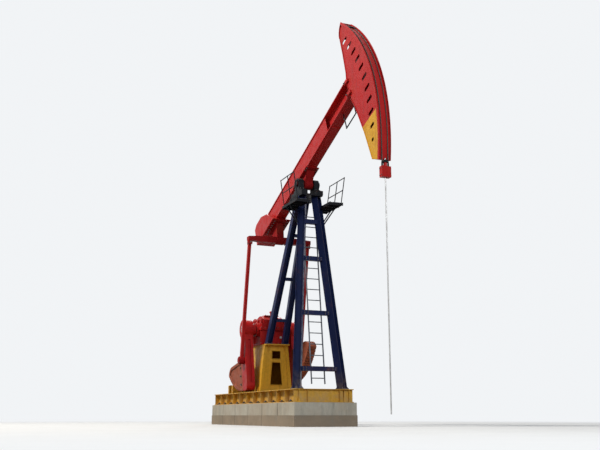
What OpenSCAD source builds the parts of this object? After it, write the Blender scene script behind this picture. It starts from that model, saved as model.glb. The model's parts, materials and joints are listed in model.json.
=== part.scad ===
// Beam pumping unit, crank balanced, on its concrete foundation.
// Origin: centre of the foundation's underside. +X points to the well, +Z up.

/* [Foundation] */
// Length of the foundation
found_l = 7000; // [6900:10:7400]
// Width of the foundation
found_w = 1760; // [1740:10:1900]
// Height of the lower slab
slab_h = 280; // [200:10:350]
// Height of the upper row of blocks
block_h = 320; // [250:10:400]

/* [Skid] */
// Height of the skid beams
skid_h = 340; // [300:10:400]
// Length of the skid
skid_l = 6800; // [6700:10:6880]
// Width of the skid over its flanges
skid_w = 1660; // [1620:10:1720]
// Distance from the foundation's centre to the front leg feet
front_x = 3100; // [3000:10:3200]

/* [Tower] */
// Height of the beam pivot over the skid
pivot_h = 5700; // [5600:10:5800]
// Distance of the beam pivot behind the front leg feet
pivot_back = 800; // [760:10:840]
// Height of the underside of the tower cap over the skid
tower_h = 5300; // [5260:10:5340]
// Depth of a front leg section
front_leg = 200; // [180:10:220]
// Depth of a rear leg section
rear_leg = 160; // [150:10:170]

/* [Walking beam] */
// Beam angle above level at rest
beam_angle = 19.6; // [15:0.1:22]
// Angle of the beam section to the horsehead's axis
beam_tilt = 2.5; // [0:0.1:3]
// Height of the beam section
beam_h = 545; // [520:5:560]
// Flange width of the beam
beam_w = 300; // [280:10:320]
// Height of the beam's underside over its pivot
beam_rise = 260; // [250:5:280]
// Distance from the pivot to the tail end of the beam
beam_tail = 3250; // [3200:10:3300]
// Radius of the horsehead arc about the pivot
head_r = 4530; // [4500:10:4560]
// Width of the horsehead arc plate
head_w = 320; // [280:10:340]

/* [Linkage] */
// Distance from the beam pivot to the tail bearing
rear_arm = 2450; // [2420:1:2480]
// Angle of the tail bearing below the beam line
rear_drop = 9.9; // [9.5:0.1:10.3]
// Distance of the crank shaft behind the front leg feet
shaft_back = 3700; // [3690:1:3710]
// Height of the crank shaft over the skid
shaft_h = 1860; // [1850:1:1870]
// Radius of the crank at the wrist pin in use
crank_r = 950; // [940:1:960]
// Crank angle at rest, from +X towards +Z
crank_angle = 280; // [275:1:285]
// Distance between the pitmans' centre planes
pitman_gap = 1880; // [1860:10:1900]

/* [Hanger] */
// Height of the carrier bar over the skid at rest
carrier_z = 4800; // [4700:10:4850]
// Radius of the polished rod
rod_r = 16; // [14:1:19]
// Radius of a bridle wire
wire_r = 13; // [11:1:14]

/* [Hidden] */
$fn = 48;

red = "firebrick";
yellow = "goldenrod";
navy = "midnightblue";
black = "#15171c";
rust = "#a8482c";
concrete = "#9a958b";
steel = "#74767a";

base_h = slab_h + block_h + skid_h;
pivot = [front_x - pivot_back, 0, base_h + pivot_h];
shaft = [front_x - shaft_back, 0, base_h + shaft_h];
// Places in the X-Z plane, as [x, z]
function tail_at(b) = [
    pivot[0] - rear_arm * cos(b + rear_drop),
    pivot[2] - rear_arm * sin(b + rear_drop)];
function pin_at(a) = [shaft[0] + crank_r * cos(a), shaft[2] + crank_r * sin(a)];
tail_pin = tail_at(beam_angle);
wrist = pin_at(crank_angle);
// Lean of the pitmans, from +X towards +Z, seen from the wrist pin
pitman_lean = atan2(tail_pin[1] - wrist[1], tail_pin[0] - wrist[0]);
rod_x = pivot[0] + head_r + wire_r + 1;
cap_z = base_h + tower_h;
skid_flange = 260;
skid_t = 20;
ped_h = 1390;
plate = 25;
// Radial clearance of a shaft in its bearing
run_fit = 0.06;
// Cranks lie between crank_in and crank_out from the middle plane
crank_t = 250;
crank_in = 615;
crank_out = crank_in + crank_t;
// Clearance between a crank and its wrist bearing
pin_gap = 8;

// Sheet of a profile in the X-Z plane, from y0 to y1
module plate_xz(y0, y1) {
    translate([0, y1, 0]) rotate([90, 0, 0]) linear_extrude(y1 - y0) children();
}

// Round bar along Y at [x, z], from y0 to y1
module bar_y(p, r, y0, y1) {
    translate([p[0], y0, p[1]]) rotate([-90, 0, 0]) cylinder(r = r, h = y1 - y0);
}

// The same bar on one side: y0 and y1 are distances from the X-Z plane, s is 1 or -1
module side_bar(p, r, s, y0, y1) {
    bar_y(p, r, min(s * y0, s * y1), max(s * y0, s * y1));
}

// Straight member with its profile's own z axis run from p to q
module member(p, q) {
    v = q - p;
    l = norm(v);
    translate(p) rotate([0, acos(v[2] / l), atan2(v[1], v[0])]) linear_extrude(l) children();
}

// Wide flange section, flanges facing y
module h_section(h, b, tf, tw) {
    for (s = [-1, 1]) translate([0, s * (h - tf) / 2]) square([b, tf], center = true);
    square([tw, h - tf], center = true);
}

// Children in the beam's own frame: x along the beam from the pivot, z up from it
module on_beam() {
    translate(pivot) rotate([0, -beam_angle, 0]) children();
}

// Children in the beam section's frame: x along the beam's flanges, z up from the pivot
module on_section() {
    on_beam() rotate([0, -beam_tilt, 0]) children();
}

// Children in a crank's own frame: x from the shaft to the crank's end
module on_crank() {
    translate(shaft) rotate([0, -crank_angle, 0]) children();
}

module foundation_slab() {
    color(concrete) translate([-found_l / 2, -found_w / 2, 0]) cube([found_l, found_w, slab_h]);
}

// Upper blocks: how many, the joint between two, and their step back from the slab's edge
block_n = 6;
block_joint = 24;
block_in = 12;
block_l = (found_l - 2 * block_in - (block_n - 1) * block_joint) / block_n;
module foundation_blocks() {
    color(concrete) for (i = [0 : block_n - 1])
        translate([block_in - found_l / 2 + i * (block_l + block_joint), block_in - found_w / 2, slab_h])
            cube([block_l, found_w - 2 * block_in, block_h]);
}

// Stiffeners of a skid beam: the first and last stand stiffener_in from its ends
stiffener_n = 12;
stiffener_t = 14;
stiffener_in = 60;
module skid_beam(s) {
    z0 = slab_h + block_h;
    y0 = s * (skid_w / 2 - skid_flange / 2);
    translate([-skid_l / 2, y0, z0]) {
        translate([0, -skid_flange / 2, 0]) cube([skid_l, skid_flange, skid_t]);
        translate([0, -skid_flange / 2, skid_h - skid_t]) cube([skid_l, skid_flange, skid_t]);
        translate([0, -stiffener_t / 2, skid_t / 2]) cube([skid_l, stiffener_t, skid_h - skid_t]);
        step = (skid_l - 2 * stiffener_in - stiffener_t) / (stiffener_n - 1);
        for (i = [0 : stiffener_n - 1])
            translate([stiffener_in + i * step, -skid_flange / 2 + 8, skid_t / 2])
                cube([stiffener_t, skid_flange - 16, skid_h - skid_t]);
    }
}
module skid_beam_left() { color(yellow) skid_beam(1); }
module skid_beam_right() { color(yellow) skid_beam(-1); }

cross_x = [-3300, -2500, -1700, -1100, -400, 200, 1100, 2000, 2700, 3300];
cross_y = skid_w / 2 - skid_flange - 1;
cross_half = 75;
module skid_cross_beams() {
    z0 = slab_h + block_h;
    color(yellow) for (x = cross_x) translate([x, -cross_y, z0]) {
        for (z = [0, skid_h - 16]) translate([-cross_half, 0, z]) cube([2 * cross_half, 2 * cross_y, 16]);
        translate([-6, 0, 8]) cube([12, 2 * cross_y, skid_h - 16]);
        if (abs(x) > 3200) for (y = [cross_y - 450, cross_y + 450])
            translate([-70, y - 6, 8]) cube([140, 12, skid_h - 16]);
    }
}

// Axis ends of the legs on the +Y side
front_foot = [front_x, 640, base_h + plate];
front_top = [front_x - 640, 205, cap_z];
rear_foot = [front_x - 3080, 260, base_h + ped_h + plate];
rear_top = [front_x - 1150, 118, cap_z];
function side(p, s) = [p[0], s * p[1], p[2]];

// A leg between two levels, cut off level at both ends
leg_over = 300;
module leg(p, q, s, size, tf, tw) {
    a = side(p, s);
    b = side(q, s);
    v = (b - a) / norm(b - a);
    intersection() {
        member(a - leg_over * v, b + leg_over * v) h_section(size, size, tf, tw);
        translate([-5000, -2000, p[2] - 1]) cube([10000, 4000, q[2] - p[2] + 1]);
    }
}
// The leg's full square, to cut other pieces with
module leg_block(p, q, s, size) {
    a = side(p, s);
    b = side(q, s);
    v = (b - a) / norm(b - a);
    member(a - leg_over * v, b + leg_over * v) square(size, center = true);
}
module foot(p, s, l, w) {
    translate([p[0] - l / 2, s * p[1] - w / 2, p[2] - plate]) cube([l, w, plate]);
}
module front_leg(s) {
    leg(front_foot, front_top, s, front_leg, 14, 10);
    foot(front_foot, s, 400, 200);
}
module rear_leg(s) {
    leg(rear_foot, rear_top, s, rear_leg, 12, 9);
    foot(rear_foot, s, 220, 176);
}
module front_leg_left() { color(navy) front_leg(1); }
module front_leg_right() { color(navy) front_leg(-1); }
module rear_leg_left() { color(navy) rear_leg(1); }
module rear_leg_right() { color(navy) rear_leg(-1); }

// Point on a leg's axis at a height over the skid
function on_leg(p, q, h) = p + (q - p) * (base_h + h - p[2]) / (q[2] - p[2]);
// Heights of the crossbars over the skid
front_bars = [520, 2000, 3500, 4560];
rear_bars = [2060, 3200, 4380];
front_bar_half = 60;
rear_bar_half = 45;
module crossbar(c, half) {
    translate([c[0] - half, -c[1], c[2] - half]) cube([2 * half, 2 * c[1], 2 * half]);
}
module front_crossbars() {
    color(navy) difference() {
        union() for (h = front_bars) crossbar(on_leg(front_foot, front_top, h), front_bar_half);
        for (s = [-1, 1]) leg_block(front_foot, front_top, s, front_leg);
    }
}
module rear_crossbars() {
    color(navy) difference() {
        union() for (h = rear_bars) crossbar(on_leg(rear_foot, rear_top, h), rear_bar_half);
        for (s = [-1, 1]) leg_block(rear_foot, rear_top, s, rear_leg);
    }
}

// Ladder behind the front crossbars
ladder_w = 380;
rung_gap = 300;
ladder_back = 205;
ladder_y = 60;
ladder_rail = [60, 14];
rung_r = 13;
first_rung = 150;
module ladder() {
    lo = on_leg(front_foot, front_top, 140);
    hi = on_leg(front_foot, front_top, 5050);
    v = (hi - lo) / norm(hi - lo);
    a = [lo[0] - ladder_back, ladder_y, lo[2]];
    b = [hi[0] - ladder_back, ladder_y, hi[2]];
    n = floor(norm(b - a) / rung_gap);
    color(steel) {
        for (s = [-1, 1]) {
            side = [0, s * ladder_w / 2, 0];
            member(a + side, b + side) square(ladder_rail, center = true);
        }
        for (i = [0 : n - 1]) {
            p = a + (b - a) * (first_rung + i * rung_gap) / norm(b - a);
            bar_y([p[0], p[2]], rung_r, ladder_y - ladder_w / 2, ladder_y + ladder_w / 2);
        }
    }
}

// Cap plate with a plinth under each bearing of the saddle shaft
cap_t = 40;
cap_half = 320;
plinth_h = 110;
plinth_half = 90;
saddle_y = 235;
saddle_half = 75;
module tower_cap() {
    color(black) {
        translate([front_x - 1320, -cap_half, cap_z]) cube([900, 2 * cap_half, cap_t]);
        for (s = [-1, 1]) translate([front_x - 1180, s * saddle_y - plinth_half, cap_z + cap_t])
            cube([760, 2 * plinth_half, plinth_h]);
    }
}

saddle_shaft_r = 75;
saddle_r = 150;
module saddle_bearings() {
    z0 = cap_z + cap_t + plinth_h;
    color(black) for (s = [-1, 1]) difference() {
        plate_xz(s * saddle_y - saddle_half, s * saddle_y + saddle_half) {
            translate([pivot[0] - 230, z0]) square([460, 60]);
            translate([pivot[0] - saddle_r, z0]) square([2 * saddle_r, pivot[2] - z0]);
            translate([pivot[0], pivot[2]]) circle(r = saddle_r);
        }
        bar_y([pivot[0], pivot[2]], saddle_shaft_r + run_fit, s * saddle_y - 80, s * saddle_y + 80);
    }
}

// Platforms: deck on two side angles and five cross bars, outside the front legs
platform_z = base_h + 5000;
platform_l = 1050;
platform_in = 300;
platform_out = 690;
deck_t = 12;
module platform(s) {
    y0 = s > 0 ? platform_in : -platform_out;
    x0 = front_x - 950;
    w = platform_out - platform_in;
    color(black) difference() {
        union() {
            translate([x0, y0, platform_z]) cube([platform_l, w, deck_t]);
            for (y = [y0, y0 + w - 10]) translate([x0, y, platform_z - 40]) cube([platform_l, 10, 70]);
            for (x = [0, 260, 520, 780, 1040]) translate([x0 + x, y0, platform_z - 60]) cube([10, w, 66]);
        }
        leg_block(front_foot, front_top, s, front_leg + 2);
    }
}
module platforms() {
    for (s = [-1, 1]) platform(s);
}
// Handrails: posts leaning outwards, with a middle and a top rail
rail_h = 760;
rail_lean = 110;
rail_r = 13;
rail_x = [-900, -400, 60];
module handrail(s) {
    z0 = platform_z + deck_t;
    y0 = platform_out - 40;
    color(black) {
        for (x = rail_x) translate([front_x + x, 0, 0]) {
            translate([-40, s * y0 - 30, z0]) cube([80, 60, 8]);
            member([0, s * y0, z0 + 4], [0, s * (y0 + rail_lean), z0 + rail_h]) circle(r = rail_r);
        }
        for (t = [0.5, 0.98])
            translate([front_x + rail_x[0], s * (y0 + t * rail_lean), z0 + t * rail_h])
                rotate([0, 90, 0]) cylinder(r = rail_r, h = rail_x[2] - rail_x[0]);
    }
}
module handrails() {
    for (s = [-1, 1]) handrail(s);
}

// Gearbox pedestal: hollow, tapered box with two windows in front
ped_front = front_x - 3120;
ped_rear = front_x - 4750;
ped_back_slope = 100;
ped_bot = 500;
ped_top = 370;
ped_wall = 16;
ped_shelf = 150;
// Windows in the front wall, in its own plane: outline of the tall one, then the small one's size
window_tall = [[-195, 205], [195, 205], [135, 870], [-135, 870]];
window_small = [280, 240];
window_small_z = 960;
module ped_solid(g) {
    intersection() {
        plate_xz(-1000, 1000) polygon([
            [ped_rear + g, base_h], [ped_front - g, base_h],
            [ped_front - g, base_h + ped_h], [ped_rear + ped_back_slope + g, base_h + ped_h]]);
        translate([ped_rear - 100, 0, 0]) rotate([90, 0, 90]) linear_extrude(3000) polygon([
            [-ped_bot + g, base_h], [ped_bot - g, base_h],
            [ped_top - g, base_h + ped_h], [-ped_top + g, base_h + ped_h]]);
    }
}
module gearbox_pedestal() {
    color(yellow) difference() {
        union() {
            ped_solid(0);
            translate([ped_front - 20, -ped_top, base_h + ped_h - 30])
                cube([ped_shelf + 20, 2 * ped_top, 30]);
            for (y = [-270, 258]) plate_xz(y, y + 12) polygon([
                [ped_front - 5, base_h + ped_h - 240], [ped_front - 5, base_h + ped_h - 20],
                [ped_front + ped_shelf - 20, base_h + ped_h - 20]]);
            translate([ped_front - 4, 0, base_h]) rotate([90, 0, 90]) linear_extrude(20) for (s = [-1, 1])
                polygon([[s * ped_bot, 0], [s * (ped_bot - 110), 0],
                    [s * (ped_top - 100), ped_h - 30], [s * ped_top, ped_h - 30]]);
        }
        intersection() {
            ped_solid(ped_wall);
            translate([-9000, -1000, base_h + 20]) cube([18000, 2000, ped_h - 50]);
        }
        translate([ped_front - 300, 0, base_h]) rotate([90, 0, 90]) linear_extrude(400) {
            polygon(window_tall);
            translate([-window_small[0] / 2, window_small_z]) square(window_small);
        }
    }
}

// Gearbox: lower and upper half meet at the shaft's axis
gb_w = 420;
gb_rear = front_x - 4600;
gb_front = front_x - 3290;
shaft_r = 90;
module shaft_hole(g) {
    bar_y([shaft[0], shaft[2]], shaft_r + g, -700, 700);
}
module shaft_boss(z0, h) {
    intersection() {
        bar_y([shaft[0], shaft[2]], 210, -gb_w - 50, gb_w + 50);
        translate([gb_rear, -700, z0]) cube([2000, 1400, h]);
    }
}
module gearbox_lower() {
    z0 = base_h + ped_h;
    gb_l = gb_front - gb_rear;
    color(red) difference() {
        union() {
            translate([gb_rear + 60, -gb_w + 40, z0]) cube([gb_l - 120, 2 * gb_w - 80, shaft[2] - z0]);
            translate([gb_rear, -gb_w, z0]) cube([gb_l, 2 * gb_w, 45]);
            translate([gb_rear, -gb_w, shaft[2] - 35]) cube([gb_l, 2 * gb_w, 35]);
            for (x = [80, 640, 1230]) translate([gb_rear + x - 9, -gb_w + 5, z0])
                cube([18, 2 * gb_w - 10, shaft[2] - z0]);
            shaft_boss(z0, shaft[2] - z0);
        }
        shaft_hole(run_fit);
    }
}
dome_r = 470;
dome_drop = 60;
module gearbox_cover() {
    z0 = shaft[2];
    gb_l = gb_front - gb_rear;
    color(red) difference() {
        union() {
            translate([gb_rear + 60, -gb_w + 40, z0]) cube([gb_l - 120, 2 * gb_w - 80, 180]);
            plate_xz(-gb_w + 110, gb_w - 110) intersection() {
                translate([gb_rear + 90, z0]) square([gb_l - 180, 500]);
                union() {
                    translate([shaft[0], z0 - dome_drop]) circle(r = dome_r, $fn = 72);
                    translate([gb_rear + 440, z0 - dome_drop]) circle(r = dome_r - 30, $fn = 72);
                }
            }
            translate([gb_rear, -gb_w, z0]) cube([gb_l, 2 * gb_w, 35]);
            shaft_boss(z0, 500);
        }
        shaft_hole(run_fit);
    }
}

// Belt guard: one closed housing over both sheaves
input_at = [front_x - 4330, base_h + 1700];
motor_at = [front_x - 5750, base_h + 560];
guard_y0 = 475;
guard_y1 = 585;
function arc(c, r, a0, a1, n) = [
    for (i = [0 : n]) c + r * [cos(a0 + (a1 - a0) * i / n), sin(a0 + (a1 - a0) * i / n)]];
// Outline of an open belt round two pulleys
module belt_loop(a, ra, b, rb) {
    d = atan2(b[1] - a[1], b[0] - a[0]);
    t = acos((ra - rb) / norm(b - a));
    polygon(concat(arc(a, ra, d + t, d - t + 360, 32), arc(b, rb, d - t, d + t, 20)));
}
module belt_guard() {
    color(yellow) {
        plate_xz(guard_y0, guard_y1) belt_loop(input_at, 400, motor_at, 210);
        bar_y(input_at, 55, gb_w - 40, guard_y0 + 1);
    }
}

motor_r = 230;
module motor() {
    color(steel) {
        bar_y(motor_at, motor_r, -300, 330);
        bar_y(motor_at, motor_r - 15, -440, -300);
        bar_y(motor_at, 130, 330, 400);
        bar_y(motor_at, 40, 400, guard_y0);
        translate([motor_at[0] - 220, -210, base_h + 270]) cube([440, 460, 80]);
        translate([motor_at[0] - 110, -120, motor_at[1] + 200]) cube([220, 200, 130]);
    }
}
module motor_base() {
    color(yellow) {
        for (x = [-220, 130]) translate([motor_at[0] + x, -540, base_h]) cube([90, 1080, 270]);
    }
}

module brake_drum() {
    color(red) {
        bar_y(input_at, 55, -470, -gb_w + 40);
        bar_y(input_at, 260, -570, -470);
    }
}

// Walking beam: wide flange section, boxed from the tail to beyond the saddle
beam_front = 3400;
beam_box = 1950;
flange_t = 28;
cover_t = 22;
module walking_beam() {
    z0 = beam_rise;
    l = beam_tail + beam_front;
    h = beam_h - flange_t;
    color(red) on_section() {
        translate([-beam_tail, -beam_w / 2, z0]) cube([l, beam_w, flange_t]);
        translate([-beam_tail, -beam_w / 2, z0 + h]) cube([l, beam_w, flange_t]);
        translate([-beam_tail, -9, z0 + 14]) cube([l, 18, h]);
        for (s = [-1, 1]) translate([-beam_tail, s * 122 - 8, z0 + 14]) cube([beam_tail + beam_box, 16, h]);
        translate([beam_front - 16, -beam_w / 2 + 12, z0 + 14]) cube([16, beam_w - 24, h]);
        translate([-1500, -beam_w / 2 + 30, z0 - cover_t]) cube([3700, beam_w - 60, cover_t + 5]);
    }
}

// Box over the beam's tail, in the beam section's frame, hollow
tail_half = 290;
tail_t = 20;
tail_low = 190;
tail_points = [
    [-3495, tail_low], [-1994, tail_low], [-2425, 636], [-2866, 838], [-3316, 845], [-3490, 753]];
tail_mid = [-2850, 500];
tail_hollow = 0.96;
module tail_box() {
    inside = [for (p = tail_points) tail_mid + tail_hollow * (p - tail_mid)];
    color(red) on_section() difference() {
        plate_xz(-tail_half, tail_half) polygon(tail_points);
        plate_xz(-tail_half + tail_t, tail_half - tail_t) polygon(inside);
        translate([-beam_tail, -beam_w / 2, beam_rise]) cube([3000, beam_w, beam_h]);
    }
}

// Tail bearing housing under the tail box; tail_x and tail_z are the pin's place in the section's frame
tail_u = -rear_arm * cos(rear_drop);
tail_v = -rear_arm * sin(rear_drop);
tail_x = tail_u * cos(beam_tilt) + tail_v * sin(beam_tilt);
tail_z = tail_v * cos(beam_tilt) - tail_u * sin(beam_tilt);
tail_shaft_r = 70;
housing_half = 110;
housing_r = 125;
module tail_bracket() {
    color(red) on_section() difference() {
        union() {
            plate_xz(-housing_half, housing_half) {
                polygon([[tail_x - 260, tail_low - 30], [tail_x + 260, tail_low - 30],
                    [tail_x + housing_r, tail_z], [tail_x - housing_r, tail_z]]);
                translate([tail_x, tail_z]) circle(r = housing_r);
            }
            translate([tail_x - 400, -tail_half + 40, tail_low - 30]) cube([800, 2 * tail_half - 80, 30]);
        }
        bar_y([tail_x, tail_z], tail_shaft_r + run_fit, -200, 200);
    }
}

// Saddle under the beam, with the shaft that turns in the tower's bearings
module saddle_bracket() {
    z1 = beam_rise - cover_t;
    color(red) on_section() plate_xz(-120, 120) {
        polygon([[-420, z1], [420, z1], [saddle_r, 0], [-saddle_r, 0]]);
        circle(r = saddle_r);
    }
    color(red) on_section() translate([-520, -200, z1 - 30]) cube([1040, 400, 30]);
    color(steel) bar_y([pivot[0], pivot[2]], saddle_shaft_r, -330, 330);
}

// Horsehead in the beam's frame: arc_lo and arc_hi are the arc's ends in degrees from its axis
arc_lo = -27.2;
arc_hi = 35.6;
head_t = 16;
arc_t = 24;
rim_h = 45;
side_r = head_r - arc_t;
side_y = 118;
// Wedge of the X-Z plane between two directions from the pivot
module wedge(a0, a1) {
    m = (a0 + a1) / 2;
    polygon([[0, 0], 7000 * [cos(a0), sin(a0)], 9000 * [cos(m), sin(m)], 7000 * [cos(a1), sin(a1)]]);
}
module ring(r0, r1) {
    intersection() {
        difference() {
            circle(r = r1, $fn = 360);
            circle(r = r0, $fn = 360);
        }
        wedge(arc_lo, arc_hi);
    }
}
// Outline that cuts the side plates behind the arc
head_edge = [
    [3690, 2610], [3560, 2530], [3482, 2350], [3465, 1740], [3428, 1150], [3380, 940],
    [3394, 390], [3510, -40],
    [3690, -1050], [3775, -1870], [4030, -2070], [5600, -1500], [5600, 3400]];
// Slots along the arc, from the nose up
slot_n = 11;
slot_first = -19.8;
slot_step = 4.9;
slot_r = 4200;
slot_w = 95;
module side_plate(s) {
    color(red) on_beam() plate_xz(s * side_y - head_t / 2, s * side_y + head_t / 2) difference() {
        intersection() {
            circle(r = side_r - 0.5, $fn = 360);
            polygon(head_edge);
        }
        for (i = [0 : slot_n - 1]) {
            a = slot_first + i * slot_step;
            l = i < 1 ? 20 : i < 2 ? 110 : 175;
            translate(slot_r * [cos(a), sin(a)]) rotate(beam_tilt) {
                square([l, slot_w], center = true);
                for (t = [-1, 1]) translate([t * l / 2, 0]) circle(r = slot_w / 2);
            }
        }
    }
}
module horsehead_side_left() { side_plate(1); }
module horsehead_side_right() { side_plate(-1); }
module horsehead_arc_plate() {
    color(red) on_beam() {
        plate_xz(-head_w / 2, head_w / 2) ring(side_r, head_r);
        for (s = [-1, 1]) plate_xz(s * (head_w / 2 - 8) - 8, s * (head_w / 2 - 8) + 8)
            ring(side_r, head_r + rim_h);
    }
}
module horsehead_web() {
    w = side_y - head_t / 2 - 0.5;
    color(red) {
        on_section() translate([beam_front, -w, beam_rise]) cube([20, 2 * w, beam_h]);
        on_beam() for (i = [0 : 4]) rotate([0, 17.35 - 2 * i * slot_step, 0])
            translate([3960, -w, -6]) cube([side_r - 3962, 2 * w, 12]);
        on_beam() plate_xz(-w, w) polygon([
            [3530, -100], [3690, -1050], [3775, -1870], [3787, -1870], [3702, -1050], [3542, -100]]);
    }
}

// Bent bar under the beam, behind the horsehead
rail_from = 2700;
rail_to = 3280;
rail_drop = 460;
bent_r = 16;
module head_rail() {
    color(black) on_section() {
        for (u = [rail_from, rail_to]) translate([u, 0, beam_rise - rail_drop])
            cylinder(r = bent_r, h = rail_drop);
        translate([rail_from - bent_r, 0, beam_rise - rail_drop]) rotate([0, 90, 0])
            cylinder(r = bent_r, h = rail_to - rail_from + 2 * bent_r);
    }
}

// Wires on the arc: distance from the middle plane, and where they end, in degrees over the head's axis
wire_y = 80;
wire_a = 30.5;
module arc_wires() {
    color(steel) on_beam() for (s = [-1, 1]) translate([0, s * wire_y, 0])
        rotate([90, 0, 0]) rotate([0, 0, -beam_angle])
            rotate_extrude(angle = wire_a + beam_angle, $fn = 360)
                translate([head_r + wire_r + 1, 0]) circle(r = wire_r, $fn = 16);
}

// Equalizer: tapered arms on both sides of the tail bearing, on one shaft
eq_half = pitman_gap / 2 + 60;
eq_drop = 150;
pitman_w = 90;
module equalizer() {
    y0 = housing_half + 5;
    color(red) {
        translate([tail_pin[0] - 100, 0, tail_pin[1]]) rotate([90, 0, 90]) linear_extrude(200)
            for (s = [-1, 1]) polygon([[s * y0, 95], [s * 500, 92], [s * eq_half, 55],
                [s * eq_half, -55], [s * 500, -92], [s * y0, -95]]);
        for (s = [-1, 1]) translate([tail_pin[0] - 70, s * pitman_gap / 2 - 60, tail_pin[1] - eq_drop])
            cube([140, 120, eq_drop]);
        bar_y(tail_pin, tail_shaft_r, -y0 - 1, y0 + 1);
    }
}

// Pitman: its top is cut level under the equalizer's block
module pitman(s) {
    y = s * pitman_gap / 2;
    a = [tail_pin[0], y, tail_pin[1]];
    b = [wrist[0], y, wrist[1]];
    v = (b - a) / norm(b - a);
    color(red) difference() {
        member(a, b - 100 * v) square([pitman_w, pitman_w], center = true);
        translate([a[0] - 300, y - 300, a[2] - eq_drop]) cube([600, 600, 600]);
    }
}
module pitman_left() { pitman(1); }
module pitman_right() { pitman(-1); }

// Wrist bearings clasp the pitmans and stay clear of the cranks, where the linkage is open
wrist_y0 = crank_out + pin_gap;
wrist_y1 = 1020;
module wrist_bearings() {
    color(red) for (s = [-1, 1]) difference() {
        union() {
            side_bar(wrist, 115, s, wrist_y0, wrist_y1);
            side_bar(wrist, 75, s, wrist_y1 - 1, wrist_y1 + 22);
        }
        translate([wrist[0], 0, wrist[1]]) rotate([0, -pitman_lean, 0])
            translate([100, s * pitman_gap / 2 - 200, -200]) cube([400, 400, 400]);
    }
}

// Crank: hub at the shaft, bar with three wrist pin holes, round end, grooved edges
crank_w = 380;
crank_l = 1830;
hub_r = 280;
groove_d = 45;
groove_w = 90;
module crank(s) {
    y0 = s > 0 ? crank_in : -crank_out;
    color(red) on_crank() difference() {
        union() {
            plate_xz(y0, y0 + crank_t) difference() {
                union() {
                    circle(r = hub_r);
                    translate([0, -crank_w / 2]) square([crank_l - 120, crank_w]);
                    translate([crank_l - 200, -crank_w / 2 + 80]) square([200, crank_w - 160]);
                    for (t = [-1, 1]) translate([crank_l - 120, t * (crank_w / 2 - 120)]) circle(r = 120);
                }
                for (r = [crank_r, crank_r - 150, crank_r - 300]) translate([r, 0]) circle(r = 38);
            }
            side_bar([0, 0], 170, s, crank_in - 130, crank_in + 1);
        }
        bar_y([0, 0], shaft_r, -900, 900);
        for (z = [-crank_w / 2 - 1, crank_w / 2 - groove_d])
            translate([hub_r + 70, y0 + (crank_t - groove_w) / 2, z])
                cube([crank_l - hub_r - 260, groove_w, groove_d + 1]);
    }
}
module crank_left() { crank(1); }
module crank_right() { crank(-1); }

// Counterweight: fan-shaped block with a grooved rim, on one edge of its crank
weight_r = 1820;
weight_in = 890;
weight_out = 1460;
weight_corner = 300;
weight_grooves = 14;
left_shift = -260;
module weight_outline(g) {
    c = weight_in + weight_corner;
    e = weight_out - weight_corner;
    y0 = crank_w / 2 + g;
    intersection() {
        circle(r = weight_r - g, $fn = 180);
        union() {
            translate([c, e]) circle(r = weight_corner - g);
            translate([weight_in + g, y0]) square([1300, e - y0]);
            translate([c, y0]) square([1300, weight_out - g - y0]);
        }
    }
}
module counterweight(s, up, shift) {
    y0 = s > 0 ? crank_out - crank_t : -crank_out;
    outer = s > 0 ? crank_out - 30 : -crank_out - 1;
    color(rust) on_crank() translate([shift, 0, 0]) difference() {
        plate_xz(y0, y0 + crank_t) mirror([0, up ? 0 : 1]) difference() {
            weight_outline(0);
            for (i = [0 : weight_grooves - 1]) {
                a = 9 + 3.1 * i;
                translate(weight_r * [cos(a), sin(a)]) rotate(a) square([50, 26], center = true);
            }
        }
        plate_xz(outer, outer + 31) mirror([0, up ? 0 : 1]) weight_outline(80);
    }
}
module counterweight_left() { counterweight(1, true, left_shift); }
module counterweight_right() { counterweight(-1, false, 0); }

module crank_shaft() {
    color(steel) bar_y([shaft[0], shaft[2]], shaft_r, -crank_out, crank_out);
}

// Hanger: two wires, the carrier bar and the polished rod
bar_z = base_h + carrier_z;
carrier_half = 130;
module bridle_wires() {
    z0 = bar_z + carrier_half;
    color(steel) for (s = [-1, 1]) translate([rod_x, s * wire_y, z0])
        cylinder(r = wire_r, h = pivot[2] - z0, $fn = 24);
}
module carrier_bar() {
    color(red) difference() {
        union() {
            translate([rod_x - 65, -120, bar_z - carrier_half]) cube([130, 240, 2 * carrier_half]);
            translate([rod_x, 0, bar_z + carrier_half]) cylinder(r = 45, h = 90);
        }
        translate([rod_x, 0, bar_z - 200]) cylinder(r = rod_r + run_fit, h = 600);
    }
}
rod_lo = 300;
pin_l = 41;
module polished_rod() {
    color(steel) translate([rod_x, 0, rod_lo]) {
        cylinder(r = rod_r - 1, h = pin_l);
        translate([0, 0, pin_l]) cylinder(r = rod_r, h = bar_z + 330 - rod_lo - pin_l);
    }
}

foundation_slab();
foundation_blocks();
skid_beam_left();
skid_beam_right();
skid_cross_beams();
front_leg_left();
front_leg_right();
rear_leg_left();
rear_leg_right();
front_crossbars();
rear_crossbars();
ladder();
tower_cap();
saddle_bearings();
platforms();
handrails();
gearbox_pedestal();
gearbox_lower();
gearbox_cover();
belt_guard();
motor();
motor_base();
brake_drum();
walking_beam();
tail_box();
tail_bracket();
saddle_bracket();
horsehead_side_left();
horsehead_side_right();
horsehead_arc_plate();
horsehead_web();
head_rail();
arc_wires();
equalizer();
pitman_left();
pitman_right();
wrist_bearings();
crank_left();
crank_right();
counterweight_left();
counterweight_right();
crank_shaft();
bridle_wires();
carrier_bar();
polished_rod();
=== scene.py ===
"""Looks of the beam pumping unit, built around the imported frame.

All places are metres in the frame's own axes: X towards the well, Y across, Z up.
Moving pieces are placed in the rest pose and ride on their CAD body.
"""

import json
import math
import random

import bmesh
import bpy
from mathutils import Matrix, Vector


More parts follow.
